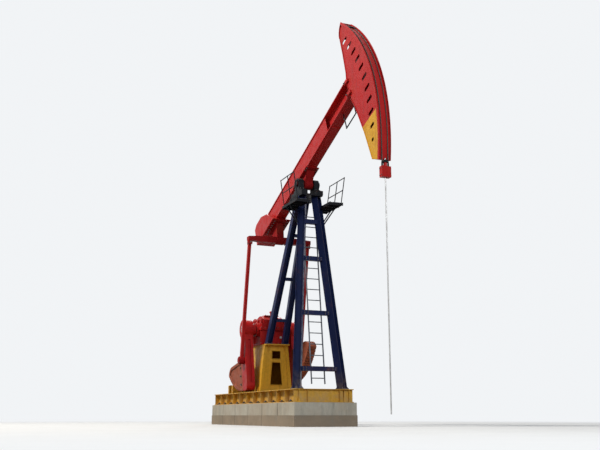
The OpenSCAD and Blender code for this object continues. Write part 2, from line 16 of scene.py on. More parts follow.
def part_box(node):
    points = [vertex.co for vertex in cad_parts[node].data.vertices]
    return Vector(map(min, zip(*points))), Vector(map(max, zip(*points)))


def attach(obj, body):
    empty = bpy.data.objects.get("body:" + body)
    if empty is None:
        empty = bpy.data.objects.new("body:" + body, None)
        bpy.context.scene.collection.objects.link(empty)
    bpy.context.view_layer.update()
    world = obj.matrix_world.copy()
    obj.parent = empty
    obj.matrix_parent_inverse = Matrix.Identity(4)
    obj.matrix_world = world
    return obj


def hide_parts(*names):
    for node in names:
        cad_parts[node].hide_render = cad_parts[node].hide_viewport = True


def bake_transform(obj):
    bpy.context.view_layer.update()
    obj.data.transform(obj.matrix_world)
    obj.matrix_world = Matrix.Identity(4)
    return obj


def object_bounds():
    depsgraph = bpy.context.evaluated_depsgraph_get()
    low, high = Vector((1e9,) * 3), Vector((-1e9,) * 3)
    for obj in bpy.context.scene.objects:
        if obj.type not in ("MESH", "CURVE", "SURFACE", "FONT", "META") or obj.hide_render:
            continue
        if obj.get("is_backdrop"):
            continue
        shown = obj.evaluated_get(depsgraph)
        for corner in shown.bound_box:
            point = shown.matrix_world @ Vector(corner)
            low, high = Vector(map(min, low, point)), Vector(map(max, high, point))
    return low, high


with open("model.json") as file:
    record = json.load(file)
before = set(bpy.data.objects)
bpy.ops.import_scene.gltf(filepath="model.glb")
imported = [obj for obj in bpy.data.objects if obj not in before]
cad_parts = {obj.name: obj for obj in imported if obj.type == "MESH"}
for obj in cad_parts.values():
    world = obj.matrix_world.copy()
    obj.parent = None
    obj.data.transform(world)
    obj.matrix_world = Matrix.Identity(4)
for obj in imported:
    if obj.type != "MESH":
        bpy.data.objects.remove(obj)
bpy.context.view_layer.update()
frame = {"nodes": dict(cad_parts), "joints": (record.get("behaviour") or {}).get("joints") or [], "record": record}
nodes = frame["nodes"]
rng = random.Random(7)

# Places that the frame gives
PIVOT, TAIL_PIN, SHAFT = (Vector(joint["pos_m"]) for joint in frame["joints"][:3])
SKID_LOW, SKID_TOP = (corner.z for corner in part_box("skid_beam_left"))
SLAB_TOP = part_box("foundation_slab")[1].z
PED_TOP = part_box("gearbox_pedestal")[1].z
CAP_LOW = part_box("tower_cap")[0].z

# Driving sizes of the rest pose, in degrees and metres
BEAM_ANGLE = 19.6
SECTION_TILT = 2.5
CRANK_ANGLE = 280
CRANK_R = 0.95
HEAD_R = 4.53
WIRE_R = 0.013
WIRE_Y = 0.08
ROD_X = PIVOT.x + HEAD_R + WIRE_R + 0.001

UP, DOWN = (0, 0, 1), (0, 0, -1)
FORWARD = (1, 0, 0)
SIDES = (-1, 1)


def turned(centre, degrees, u, y, v):
    """Point at u along and v square to a direction in the X-Z plane, from a centre."""
    a = math.radians(degrees)
    x = centre.x + u * math.cos(a) - v * math.sin(a)
    return Vector((x, y, centre.z + u * math.sin(a) + v * math.cos(a)))


def on_section(u, y, v):
    """Point in the beam section's frame: u along its flanges from the pivot, v up from it."""
    return turned(PIVOT, BEAM_ANGLE + SECTION_TILT, u, y, v)


def on_crank(u, y, v):
    """Point in the cranks' frame: u from the shaft to the crank's end, v across."""
    return turned(SHAFT, CRANK_ANGLE, u, y, v)


def turn_about(centre, degrees):
    """Matrix from a frame with x along a direction in the X-Z plane to the model's frame."""
    return Matrix.Translation(centre) @ Matrix.Rotation(-math.radians(degrees), 4, "Y")


BEAM = turn_about(PIVOT, BEAM_ANGLE)
SECTION = turn_about(PIVOT, BEAM_ANGLE + SECTION_TILT)


def evenly(a, b, n):
    """n numbers from a to b at equal steps."""
    return [a + (b - a) * i / (n - 1) for i in range(n)]


def arc(first, last, n):
    """n angles in radians at equal steps, from one in degrees to another."""
    return evenly(math.radians(first), math.radians(last), n)


def around(centre, radius, y, angles):
    """Points on a circle in the X-Z plane about a centre, at y across."""
    return [
        Vector((centre.x + radius * math.cos(a), y, centre.z + radius * math.sin(a)))
        for a in angles
    ]


SIXTHS = arc(0, 300, 6)


def span(side, a, b):
    """Two distances from the middle plane as a lower and an upper y on one side."""
    return sorted((side * a, side * b))


# Materials


class Shader:
    """A material and short ways to add and join its nodes."""

    def __init__(self, name):
        self.material = bpy.data.materials.new(name)
        self.material.use_nodes = True
        self.tree = self.material.node_tree
        self.tree.nodes.clear()
        self.output = self.node("ShaderNodeOutputMaterial")
        self.bsdf = self.node("ShaderNodeBsdfPrincipled")
        self.join(self.bsdf, "BSDF", self.output, "Surface")
        self.coords = self.node("ShaderNodeTexCoord")

    def node(self, kind, **values):
        made = self.tree.nodes.new(kind)
        for key, value in values.items():
            setattr(made, key, value)
        return made

    def join(self, a, out, b, into):
        self.tree.links.new(a.outputs[out], b.inputs[into])

    def split(self):
        """The place on the object as three numbers, X, Y and Z."""
        made = self.node("ShaderNodeSeparateXYZ")
        self.join(self.coords, "Object", made, "Vector")
        return made.outputs

    def mapped(self, scale):
        place = self.node("ShaderNodeMapping")
        place.inputs["Scale"].default_value = scale
        self.join(self.coords, "Object", place, "Vector")
        return place

    def noise(self, scale, detail=4.0, rough=0.6, stretch=(1, 1, 1)):
        """Noise from 0 to 1; a stretch under 1 draws it out along that axis."""
        made = self.node("ShaderNodeTexNoise")
        made.inputs["Scale"].default_value = scale
        made.inputs["Detail"].default_value = detail
        made.inputs["Roughness"].default_value = rough
        self.join(self.mapped(stretch), "Vector", made, "Vector")
        return made.outputs["Fac"]

    def ramp(self, value, low, high, a=0.0, b=1.0):
        """Smooth step from a, where the value is low, to b, where it is high."""
        made = self.node("ShaderNodeMapRange")
        made.interpolation_type = "SMOOTHSTEP"
        for key, number in (("From Min", low), ("From Max", high), ("To Min", a), ("To Max", b)):
            made.inputs[key].default_value = number
        self.tree.links.new(value, made.inputs["Value"])
        return made.outputs[0]

    def math(self, operation, a, b):
        made = self.node("ShaderNodeMath", operation=operation)
        for i, value in enumerate((a, b)):
            if isinstance(value, (int, float)):
                made.inputs[i].default_value = value
            else:
                self.tree.links.new(value, made.inputs[i])
        return made.outputs[0]

    def times(self, a, b):
        return self.math("MULTIPLY", a, b)

    def mix(self, factor, a, b):
        """Colour mix: a and b are colours or sockets, and factor is a socket."""
        made = self.node("ShaderNodeMix", data_type="RGBA")
        for key, value in (("Factor", factor), ("A", a), ("B", b)):
            socket = [s for s in made.inputs if s.name == key and s.enabled][0]
            if isinstance(value, bpy.types.NodeSocket):
                self.tree.links.new(value, socket)
            else:
                socket.default_value = (*value, 1)
        return [s for s in made.outputs if s.enabled][0]

    def tint(self, tone, mask, share, colour):
        """Lays a share of a colour over a tone where the mask is 1."""
        return self.mix(self.times(mask, share), tone, colour)

    def up_facing(self):
        """0 to 1 as the surface turns up."""
        geometry = self.node("ShaderNodeNewGeometry")
        split = self.node("ShaderNodeSeparateXYZ")
        self.join(geometry, "Normal", split, "Vector")
        return self.ramp(split.outputs["Z"], 0.55, 0.95)

    def height(self, low, high):
        """1 at height low and under it, down to 0 at height high."""
        return self.ramp(self.split()["Z"], low, high, 1.0, 0.0)

    def worn_edge(self, radius):
        """1 along sharp edges, from the angle between the plain and the rounded normal."""
        bevel = self.node("ShaderNodeBevel", samples=4)
        bevel.inputs["Radius"].default_value = radius
        geometry = self.node("ShaderNodeNewGeometry")
        dot = self.node("ShaderNodeVectorMath", operation="DOT_PRODUCT")
        self.join(bevel, "Normal", dot, 0)
        self.join(geometry, "Normal", dot, 1)
        return self.ramp(dot.outputs["Value"], 0.97, 0.80)

    def finish(self, colour, roughness, metallic, shine, bump, strength, distance, rounded=0.006):
        """Sets the surface: strength and distance are the bump's, rounded the edges' radius."""
        self.tree.links.new(colour, self.bsdf.inputs["Base Color"])
        if isinstance(roughness, (int, float)):
            self.bsdf.inputs["Roughness"].default_value = roughness
        else:
            self.tree.links.new(roughness, self.bsdf.inputs["Roughness"])
        self.bsdf.inputs["Metallic"].default_value = metallic
        self.bsdf.inputs["Specular IOR Level"].default_value = shine
        made = self.node("ShaderNodeBump")
        made.inputs["Strength"].default_value = strength
        made.inputs["Distance"].default_value = distance
        self.tree.links.new(bump, made.inputs["Height"])
        if rounded:
            edge = self.node("ShaderNodeBevel", samples=4)
            edge.inputs["Radius"].default_value = rounded
            self.join(edge, "Normal", made, "Normal")
        self.join(made, "Normal", self.bsdf, "Normal")
        return self.material


def scaled(colour, share):
    return tuple(c * share for c in colour)


DUST = (0.36, 0.27, 0.19)
RUST = (0.20, 0.075, 0.03)
BLOOM = (0.66, 0.64, 0.59)
JOINT_DIRT = (0.05, 0.04, 0.03)


def paint(name, colour, faded, gloss, chips, dust, streaks, splash=None, nose=None, shine=0.12, stain=0.35):
    """Weathered enamel.

    gloss is its roughness. chips, dust, streaks and stain are the shares of rusty chips and
    edges, of dust, of dark runs and of brown stains. splash is the height up to which dust lies
    on upright faces and the height where it ends. nose paints the horsehead's lower end.
    """
    s = Shader(name)
    base = nose(s, colour) if nose else colour
    pale = nose(s, faded, NOSE_FADED) if nose else faded
    patches = s.times(s.ramp(s.noise(0.9, 5), 0.35, 0.7), 0.45)
    tone = s.mix(patches, base, pale)
    tone = s.mix(s.ramp(s.noise(14, 6, 0.65), 0.35, 0.72, 0.0, 0.24), tone, scaled(colour, 0.35))
    runs = s.ramp(s.noise(2.6, 6, 0.7, (5, 5, 0.45)), 0.48, 0.72)
    tone = s.tint(tone, runs, streaks * 0.7, scaled(colour, 0.30))
    brown = tuple(0.55 * c + 0.45 * r for c, r in zip(colour, RUST))
    tone = s.tint(tone, s.ramp(s.noise(1.5, 7, 0.72), 0.54, 0.68), stain, brown)
    worn = s.times(s.worn_edge(0.014), s.ramp(s.noise(9, 5, 0.7), 0.50, 0.62))
    tone = s.tint(tone, worn, chips, RUST)
    tone = s.tint(tone, s.ramp(s.noise(3.1, 9, 0.75), 0.635, 0.665), chips * 0.7, RUST)
    settled = s.times(s.up_facing(), s.ramp(s.noise(2.2, 5), 0.3, 0.75))
    tone = s.tint(tone, settled, dust, DUST)
    if splash:
        foot = s.times(s.height(*splash), s.ramp(s.noise(5, 6), 0.3, 0.7))
        tone = s.tint(tone, foot, dust, DUST)
    rough = s.ramp(s.noise(6, 5), 0.3, 0.75, gloss - 0.06, gloss + 0.2)
    rough = s.math("ADD", rough, s.times(worn, 0.3))
    return s.finish(tone, rough, 0.0, shine, s.noise(38, 4, 0.6), 0.12, 0.004)


# The line under which the horsehead is yellow: its distance across the beam's direction from
# the pivot, how far the two colours run into each other, and how much darker the yellow fades
NOSE_LEVEL = -0.815
NOSE_BLUR = 0.004
NOSE_FADED = 0.8


def nose_of(second):
    """The second colour under a line across the horsehead, along the beam's direction."""

    def colours(s, colour, share=1.0):
        a = math.radians(BEAM_ANGLE)
        across = Vector((-math.sin(a), 0, math.cos(a)))
        dot = s.node("ShaderNodeVectorMath", operation="DOT_PRODUCT")
        s.join(s.coords, "Object", dot, 0)
        dot.inputs[1].default_value = across
        start = across.x * PIVOT.x + across.z * PIVOT.z + NOSE_LEVEL
        side = s.ramp(dot.outputs["Value"], start - NOSE_BLUR, start + NOSE_BLUR, 1.0, 0.0)
        return s.mix(side, colour, scaled(second, share))

    return colours


def bare(name, colour, dark, gloss, metallic, grain, strength, rust):
    """Bare, dull or rusty metal: grain is its bump's scale, rust the share of rusty spots."""
    s = Shader(name)
    tone = s.mix(s.ramp(s.noise(3.5, 6, 0.7), 0.3, 0.7), colour, dark)
    tone = s.tint(tone, s.ramp(s.noise(11, 8, 0.75), 0.5, 0.68), rust, RUST)
    settled = s.times(s.up_facing(), s.ramp(s.noise(3, 5), 0.35, 0.7))
    tone = s.tint(tone, settled, 0.3, DUST)
    rough = s.ramp(s.noise(8, 5), 0.3, 0.7, gloss, gloss + 0.25)
    return s.finish(tone, rough, metallic, 0.4, s.noise(grain, 5, 0.65), strength, 0.004)


# Joints drawn in the slab: its front face, the length of a block, and the first and last joint
SLAB_FRONT = 3.5
BLOCK_STEP = 7.0 / 6
FIRST_JOINT, LAST_JOINT = 2, 5


def slab_joints(s, slab):
    """1 on the ragged lines of the slab's joints, counted back from its front face."""
    along = s.math("DIVIDE", s.math("SUBTRACT", SLAB_FRONT, s.split()["X"]), BLOCK_STEP)
    nearest = s.math("FRACT", s.math("ADD", along, 0.5), 0.0)
    off = s.math("ABSOLUTE", s.math("SUBTRACT", nearest, 0.5), 0.0)
    near = s.math("LESS_THAN", off, s.times(s.noise(5, 3), 0.016))
    after = s.math("GREATER_THAN", along, FIRST_JOINT - 0.5)
    before = s.math("LESS_THAN", along, LAST_JOINT + 0.5)
    return s.times(s.times(near, s.times(after, before)), slab)


def concrete(name, colour, brown):
    """Cast concrete with pores, stains and pale bloom, browner in the slab and dusty at its foot."""
    s = Shader(name)
    slab = s.height(SLAB_TOP - 0.005, SLAB_TOP + 0.005)
    tone = s.mix(slab, colour, scaled(brown, 0.62))
    tone = s.tint(tone, s.ramp(s.noise(1.1, 6, 0.65), 0.35, 0.68), 0.6, brown)
    stain = s.ramp(s.noise(1.7, 7, 0.7, (3, 3, 0.5)), 0.46, 0.72)
    tone = s.tint(tone, stain, 0.65, scaled(colour, 0.42))
    tone = s.tint(tone, s.ramp(s.noise(2.3, 8, 0.75), 0.55, 0.72), 0.45, BLOOM)
    sand = s.ramp(s.noise(70, 3, 0.5), 0.35, 0.7, 0.0, 0.35)
    tone = s.mix(sand, tone, scaled(colour, 0.6))
    foot = s.times(s.height(0.02, 0.34), s.ramp(s.noise(4, 6), 0.25, 0.65))
    tone = s.tint(tone, foot, 0.75, DUST)
    joint = slab_joints(s, slab)
    tone = s.tint(tone, joint, 0.85, JOINT_DIRT)
    pores = s.node("ShaderNodeTexVoronoi")
    pores.inputs["Scale"].default_value = 26
    s.join(s.coords, "Object", pores, "Vector")
    pits = s.times(s.ramp(pores.outputs["Distance"], 0.05, 0.2), 0.35)
    height = s.math("SUBTRACT", s.math("ADD", pits, s.noise(9, 8, 0.7)), s.times(joint, 1.5))
    return s.finish(tone, 0.85, 0.0, 0.2, height, 0.5, 0.012, 0.012)


# Strands of a wire rope in one metre, and a full turn in radians
STRANDS = 55.0
FULL_TURN = 6.283


def rope(name, dark, light):
    """Wire rope: slanted strands as bump and tone."""
    s = Shader(name)
    place = s.split()
    slant = s.math("ADD", s.times(place["Z"], STRANDS), s.times(place["Y"], 2 * STRANDS))
    wave = s.math("SINE", s.times(slant, FULL_TURN), 0.0)
    strands = s.math("ADD", s.times(wave, 0.5), 0.5)
    tone = s.mix(strands, dark, light)
    return s.finish(tone, 0.5, 0.5, 0.3, strands, 0.8, 0.004, 0)


RED, RED_FADED = (0.43, 0.010, 0.010), (0.48, 0.027, 0.023)
YELLOW, YELLOW_FADED = (0.70, 0.37, 0.030), (0.68, 0.42, 0.09)
NAVY, NAVY_FADED = (0.009, 0.016, 0.066), (0.020, 0.032, 0.10)
BLACK, BLACK_FADED = (0.005, 0.006, 0.009), (0.012, 0.013, 0.016)
GREY, GREY_FADED = (0.20, 0.23, 0.24), (0.27, 0.29, 0.29)
MATERIALS = {
    "red_paint": paint("red_paint", RED, RED_FADED, 0.36, 0.45, 0.25, 0.5),
    "yellow_paint": paint(
        "yellow_paint", YELLOW, YELLOW_FADED, 0.4, 0.8, 0.5, 0.6, (0.62, 1.1), stain=0.65
    ),
    "navy_paint": paint("navy_paint", NAVY, NAVY_FADED, 0.36, 0.4, 0.35, 0.4, (0.9, 1.6)),
    "black_paint": paint("black_paint", BLACK, BLACK_FADED, 0.45, 0.5, 0.25, 0.4),
    "grey_paint": paint("grey_paint", GREY, GREY_FADED, 0.4, 0.5, 0.5, 0.6, (1.0, 1.5)),
    "rust_iron": bare("rust_iron", (0.34, 0.082, 0.038), (0.21, 0.050, 0.023), 0.6, 0.0, 30, 0.35, 0.45),
    "galvanised": bare("galvanised", (0.13, 0.145, 0.17), (0.07, 0.08, 0.10), 0.45, 0.6, 50, 0.15, 0.15),
    "steel": bare("steel", (0.48, 0.47, 0.46), (0.30, 0.29, 0.28), 0.25, 0.9, 90, 0.1, 0.12),
    "wire_rope": rope("wire_rope", (0.018, 0.016, 0.014), (0.13, 0.12, 0.11)),
    "concrete": concrete("concrete", (0.54, 0.505, 0.42), (0.40, 0.31, 0.215)),
}
HEAD_PAINT = paint("head_paint", RED, RED_FADED, 0.36, 0.4, 0.25, 0.5, nose=nose_of(YELLOW))
# Darker red of painted shade, for the parts that sit in shadow under the beam; its stains, chips and dust are real
RED_PAINTED_SHADE = paint(
    "red_painted_shade", (0.27, 0.008, 0.010), (0.36, 0.018, 0.016), 0.5, 0.5, 0.2, 0.8, shine=0.05, stain=0.5
)
DARK_BOLT = bare("bolt_steel", (0.16, 0.14, 0.13), (0.07, 0.06, 0.055), 0.4, 0.7, 80, 0.2, 0.5)
SLOTS = {row["node"]: row["material_slot"] for row in frame["record"]["subparts"]}


def dress(obj, material):
    obj.data.materials.clear()
    obj.data.materials.append(material)


for name, obj in nodes.items():
    dress(obj, MATERIALS[SLOTS[name]])
for name in ("horsehead_side_left", "horsehead_side_right"):
    dress(nodes[name], HEAD_PAINT)
# Painted shade: the equalizer, brackets and wrist bearings get the darker red
for name in ("equalizer", "tail_bracket", "saddle_bracket", "wrist_bearings"):
    dress(nodes[name], RED_PAINTED_SHADE)


# Shapes


def add_object(name, data):
    made = bpy.data.objects.new(name, data)
    bpy.context.scene.collection.objects.link(made)
    return made


def from_mesh(name, mesh):
    """Turns a bmesh into an object."""
    data = bpy.data.meshes.new(name)
    mesh.to_mesh(data)
    mesh.free()
    return add_object(name, data)


def piece(name, mesh, body, slot, material=None):
    """Turns a bmesh into a piece that rides on a body, or on none."""
    bmesh.ops.recalc_face_normals(mesh, faces=mesh.faces)
    made = from_mesh(name, mesh)
    dress(made, material or MATERIALS[slot])
    if body:
        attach(made, body)
    return made


def facing(direction):
    """Rotation that turns +Z to a direction."""
    return Vector(UP).rotation_difference(Vector(direction).normalized()).to_matrix().to_4x4()


def add_cylinder(mesh, place, direction, radius, height, sides=24, top=None):
    """A cylinder that stands on a place and runs along a direction; top is its far radius."""
    at = Matrix.Translation(Vector(place)) @ facing(direction) @ Matrix.Translation((0, 0, height / 2))
    bmesh.ops.create_cone(
        mesh, cap_ends=True, segments=sides, radius1=radius,
        radius2=radius if top is None else top, depth=height, matrix=at,
    )


def add_box(mesh, low, high, turn=None, bevel=0.0):
    """A box between two corners, with the turn applied to its points."""
    low, high = Vector(low), Vector(high)
    verts = bmesh.ops.create_cube(mesh, size=1.0)["verts"]
    bmesh.ops.scale(mesh, vec=high - low, verts=verts)
    bmesh.ops.translate(mesh, vec=(high + low) / 2, verts=verts)
    if bevel:
        edges = list({e for v in verts for e in v.link_edges})
        out = bmesh.ops.bevel(mesh, geom=edges, offset=bevel, segments=2, affect="EDGES", profile=0.5)
        verts = list({v for f in out["faces"] for v in f.verts} | {v for v in verts if v.is_valid})
    if turn:
        bmesh.ops.transform(mesh, matrix=turn, verts=verts)


def add_block(mesh, x, y, z, half_x, half_y, height, turn=None, bevel=0.0):
    """A box that stands on a place, given by its half sizes across and its height."""
    add_box(mesh, (x - half_x, y - half_y, z), (x + half_x, y + half_y, z + height), turn, bevel)


def add_taper(mesh, foot, top):
    """A block between two level rectangles, each given as (x0, x1, y0, y1, z)."""
    for v in bmesh.ops.create_cube(mesh, size=1.0)["verts"]:
        x0, x1, y0, y1, z = top if v.co.z > 0 else foot
        v.co = Vector((x1 if v.co.x > 0 else x0, y1 if v.co.y > 0 else y0, z))


def add_rings(mesh, rings):
    """Skin over rings of points, closed at both ends."""
    n = len(rings[0])
    for a, b in zip(rings, rings[1:]):
        for k in range(n):
            mesh.faces.new((a[k], a[(k + 1) % n], b[(k + 1) % n], b[k]))
    mesh.faces.new(rings[0][::-1])
    mesh.faces.new(rings[-1])


def add_tube(mesh, path, radius, sides=8, wobble=0.0):
    """A tube along points; wobble is the share by which its radius varies."""
    path = [Vector(p) for p in path]
    rings = []
    for i, p in enumerate(path):
        turn = facing(path[min(i + 1, len(path) - 1)] - path[max(i - 1, 0)])
        r = radius * (1 + wobble * (rng.random() - 0.5))
        corners = ((math.cos(a), math.sin(a), 0) for a in (2 * math.pi * k / sides for k in range(sides)))
        rings.append([mesh.verts.new(p + turn @ (r * Vector(c))) for c in corners])
    add_rings(mesh, rings)


def add_strip(mesh, points, y0, y1, depth, matrix):
    """A bent flat bar: points (u, v) on its outer face, with its depth to the right of their run."""
    rings = []
    for i, (u, v) in enumerate(points):
        a, b = Vector(points[max(i - 1, 0)]), Vector(points[min(i + 1, len(points) - 1)])
        way = (b - a).normalized()
        inner = Vector((u, v)) + Vector((way.y, -way.x)) * depth
        corners = ((u, y0, v), (u, y1, v), (inner.x, y1, inner.y), (inner.x, y0, inner.y))
        rings.append([mesh.verts.new(matrix @ Vector(c)) for c in corners])
    add_rings(mesh, rings)


def line(a, b, step):
    """Points from a to b, about a step apart."""
    a, b = Vector(a), Vector(b)
    n = max(1, round((b - a).length / step))
    return [a.lerp(b, i / n) for i in range(n + 1)]


def add_bolt(mesh, place, direction, size):
    """Washer, hexagon head and a stub of thread. size is the head's radius."""
    direction = Vector(direction).normalized()
    place = Vector(place)
    add_cylinder(mesh, place, direction, size * 1.25, size * 0.25, 16)
    add_cylinder(mesh, place + direction * size * 0.25, direction, size, size * 0.75, 6)
    add_cylinder(mesh, place + direction * size, direction, size * 0.55, size * 0.5, 10)


def bolts(name, body, spots, size):
    """One piece of many bolts; each spot is a place and the way its head points."""
    mesh = bmesh.new()
    for place, direction in spots:
        add_bolt(mesh, place, direction, size)
    piece(name, mesh, body, "steel", DARK_BOLT)


def four_bolts(x, middles, z, dx, dy):
    """Spots of four upright bolts about a place at each of the middles across."""
    return [((x + i * dx, y + j * dy, z), UP) for y in middles for i in SIDES for j in SIDES]


def bolt_rings(centre, radius, y, angles, sides=SIDES):
    """Spots of bolts on a circle in the X-Z plane on each side, with their heads outwards."""
    return [(p, (0, s, 0)) for s in sides for p in around(centre, radius, s * y, angles)]


def welds(name, paths, radius, material=None):
    """Weld beads on the beam, painted over."""
    mesh = bmesh.new()
    for path in paths:
        add_tube(mesh, path, radius, 6, 0.5)
    piece(name, mesh, "beam", "red_paint", material)


# Anchor clamps and bolts along both skid beams
ANCHOR_Y, ANCHOR_INSET = 0.78, 0.37
CLAMP_Z, CLAMP_THICK = SKID_LOW + 0.02, 0.022
skid_low, skid_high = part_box("skid_beam_left")
anchor_x = evenly(skid_low.x + ANCHOR_INSET, skid_high.x - ANCHOR_INSET, 11)
anchors = [(x, s * ANCHOR_Y) for x in anchor_x for s in SIDES]
mesh = bmesh.new()
for x, y in anchors:
    add_block(mesh, x, y, CLAMP_Z, 0.06, 0.045, CLAMP_THICK, bevel=0.003)
piece("anchor_clamps", mesh, "frame", "black_paint")
bolts("anchor_bolts", "frame", [((x, y, CLAMP_Z + CLAMP_THICK), UP) for x, y in anchors], 0.026)

# Ends of the tower's legs on the +Y side, on their centre lines, and bolts of their foot plates
FOOT_PLATE = 0.025
FRONT_FOOT, FRONT_TOP = Vector((3.1, 0.64, SKID_TOP + FOOT_PLATE)), Vector((2.46, 0.205, CAP_LOW))
REAR_FOOT, REAR_TOP = Vector((0.02, 0.26, PED_TOP + FOOT_PLATE)), Vector((1.95, 0.118, CAP_LOW))
for name, foot, dx, size in (
    ("front_foot_bolts", FRONT_FOOT, 0.165, 0.022), ("rear_foot_bolts", REAR_FOOT, 0.085, 0.014)
):
    bolts(name, "frame", four_bolts(foot.x, (-foot.y, foot.y), foot.z, dx, 0.07), size)

# Foot gussets beside the front legs
GUSSET_TALL, GUSSET_HALF = 0.15, 0.006
mesh = bmesh.new()
for s in SIDES:
    y0, y1 = s * FRONT_FOOT.y - GUSSET_HALF, s * FRONT_FOOT.y + GUSSET_HALF
    for way in SIDES:
        low, high = FRONT_FOOT.x + way * 0.13, FRONT_FOOT.x + way * 0.095
        foot = (low - 0.06, low + 0.06, y0, y1, FRONT_FOOT.z)
        add_taper(mesh, foot, (high - 0.01, high + 0.01, y0, y1, FRONT_FOOT.z + GUSSET_TALL))
piece("foot_gussets", mesh, "frame", "navy_paint")


def at_height(foot, top, z):
    """Point on a leg's centre line."""
    return foot.lerp(top, (z - foot.z) / (top.z - foot.z))


# Tower crossbars: end plates and bolts, where the legs stand far enough apart for them
PLATE_THICK, PLATE_HALF = 0.012, 0.08
PLATE_OFF, PLATE_NEAREST = 0.12, 0.15
FRONT_LEVELS = [SKID_TOP + h for h in (0.52, 2.0, 3.5, 4.56)]
REAR_LEVELS = [SKID_TOP + h for h in (2.06, 3.2, 4.38)]
mesh = bmesh.new()
spots = []
for foot, top, levels, half in (
    (FRONT_FOOT, FRONT_TOP, FRONT_LEVELS, 0.06), (REAR_FOOT, REAR_TOP, REAR_LEVELS, 0.045)
):
    for z in levels:
        leg = at_height(foot, top, z)
        x0, x1 = leg.x + half, leg.x + half + PLATE_THICK
        middle = leg.y - half - PLATE_OFF
        if middle < PLATE_NEAREST:
            continue
        for s in SIDES:
            y, tall = s * middle, half - 0.01
            add_box(mesh, (x0, y - PLATE_HALF, z - tall), (x1, y + PLATE_HALF, z + tall), bevel=0.002)
            spots += [((x1, y + i * 0.045, z + j * 0.025), FORWARD) for i in SIDES for j in SIDES]
piece("crossbar_plates", mesh, "frame", "navy_paint")
bolts("crossbar_bolts", "frame", spots, 0.013)

# Ladder brackets to the front crossbars
LADDER_Y, STILE_Y = 0.06, 0.19
BRACKET_BACK, BRACKET_HALF = 0.135, 0.08
mesh = bmesh.new()
for z in FRONT_LEVELS:
    x = at_height(FRONT_FOOT, FRONT_TOP, z).x - BRACKET_BACK
    for s in SIDES:
        add_block(mesh, x, LADDER_Y + s * STILE_Y, z - 0.02, BRACKET_HALF, 0.006, 0.04)
piece("ladder_brackets", mesh, "frame", "galvanised")

# Saddle: bolts of the bearing feet, end covers with bolts, and bolts of the cap's plate
BEARING_Y = 0.235
COVER_Y, COVER_THICK = 0.33, 0.022
CAP_PLATE_TOP = CAP_LOW + 0.04
BEARING_FOOT_TOP = CAP_PLATE_TOP + 0.17
spots = four_bolts(PIVOT.x, (-BEARING_Y, BEARING_Y), BEARING_FOOT_TOP, 0.19, 0.045)
bolts("saddle_bolts", "frame", spots, 0.018)
mesh = bmesh.new()
for s in SIDES:
    add_cylinder(mesh, (PIVOT.x, s * COVER_Y, PIVOT.z), (0, s, 0), 0.1, COVER_THICK, 32)
piece("saddle_covers", mesh, "beam", "black_paint")
bolts("saddle_cover_bolts", "beam", bolt_rings(PIVOT, 0.078, COVER_Y + COVER_THICK, SIXTHS), 0.009)
spots = [((x, s * 0.30, CAP_PLATE_TOP), UP) for s in SIDES for x in evenly(1.86, 2.60, 5)]
bolts("cap_bolts", "frame", spots, 0.013)

# Platforms: bars across and rods along the decks
DECK_Z, GRATE = 5.952, 0.012
DECK_INNER, DECK_OUTER = 0.385, 0.68
deck_low, deck_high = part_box("platforms")
mesh = bmesh.new()
for s in SIDES:
    y0, y1 = span(s, DECK_INNER, DECK_OUTER)
    for x in evenly(deck_low.x + 0.02, deck_high.x - 0.02, 26):
        add_box(mesh, (x - 0.003, y0, DECK_Z), (x + 0.003, y1, DECK_Z + GRATE))
    for y in evenly(DECK_INNER + 0.015, DECK_OUTER - 0.01, 7):
        ends = [(x, s * y, DECK_Z + GRATE) for x in (deck_low.x + 0.01, deck_high.x - 0.01)]
        add_tube(mesh, ends, 0.004, 6)
piece("deck_grating", mesh, "frame", "galvanised")

# Struts from the platforms' ribs to a plate on each front leg's outer flange
STRUT_TOP, STRUT_LOW = 5.885, 5.42
STRUT_Y, STRUT_R = 0.66, 0.018
LEG_HALF = 0.1
leg, run = at_height(FRONT_FOOT, FRONT_TOP, STRUT_LOW), FRONT_TOP - FRONT_FOOT
mesh = bmesh.new()
spots = []
for s in SIDES:
    axis = Vector((run.x, s * run.y, run.z)).normalized()
    outward = Vector((s * axis.y, -s * axis.x, 0)).normalized()
    across = outward.cross(axis)
    face = Vector((leg.x, s * leg.y, leg.z)) + LEG_HALF * outward
    turn = Matrix.Translation(face) @ Matrix((across, outward, axis)).transposed().to_4x4()
    add_box(mesh, (-0.085, -0.002, -0.06), (0.085, PLATE_THICK, 0.06), turn, 0.003)
    for x, shift in ((2.415, -0.03), (2.675, 0.05)):
        add_tube(mesh, [(x, s * STRUT_Y, STRUT_TOP), face + s * shift * across], STRUT_R, 10)
    for u in (-0.068, 0.068):
        spots += [(face + PLATE_THICK * outward + u * across + v * axis, outward) for v in (-0.04, 0.04)]
piece("platform_struts", mesh, "frame", "black_paint")
bolts("strut_bolts", "frame", spots, 0.009)

# Gearbox: bolts of the flanges and bearing caps
INPUT = Vector((-1.23, 0, 2.64))
FLANGE_Y, FLANGE_END_Y, BEARING_CAP_HALF = 0.40, 0.28, 0.23
gb_low, gb_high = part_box("gearbox_lower")
flange_ends = (gb_low.x + 0.03, gb_high.x - 0.03)
spots = []
split_top, foot_top = SHAFT.z + 0.035, gb_low.z + 0.045
for z in (split_top, foot_top):
    for x in evenly(*flange_ends, 11):
        if z == foot_top or abs(x - SHAFT.x) > BEARING_CAP_HALF:
            spots += [((x, s * FLANGE_Y, z), UP) for s in SIDES]
    spots += [((x, y, z), UP) for x in flange_ends for y in evenly(-FLANGE_END_Y, FLANGE_END_Y, 5)]
bolts("gearbox_bolts", "frame", spots, 0.014)
bolts("bearing_cap_bolts", "frame", bolt_rings(SHAFT, 0.19, 0.47, arc(18, 342, 10)), 0.009)

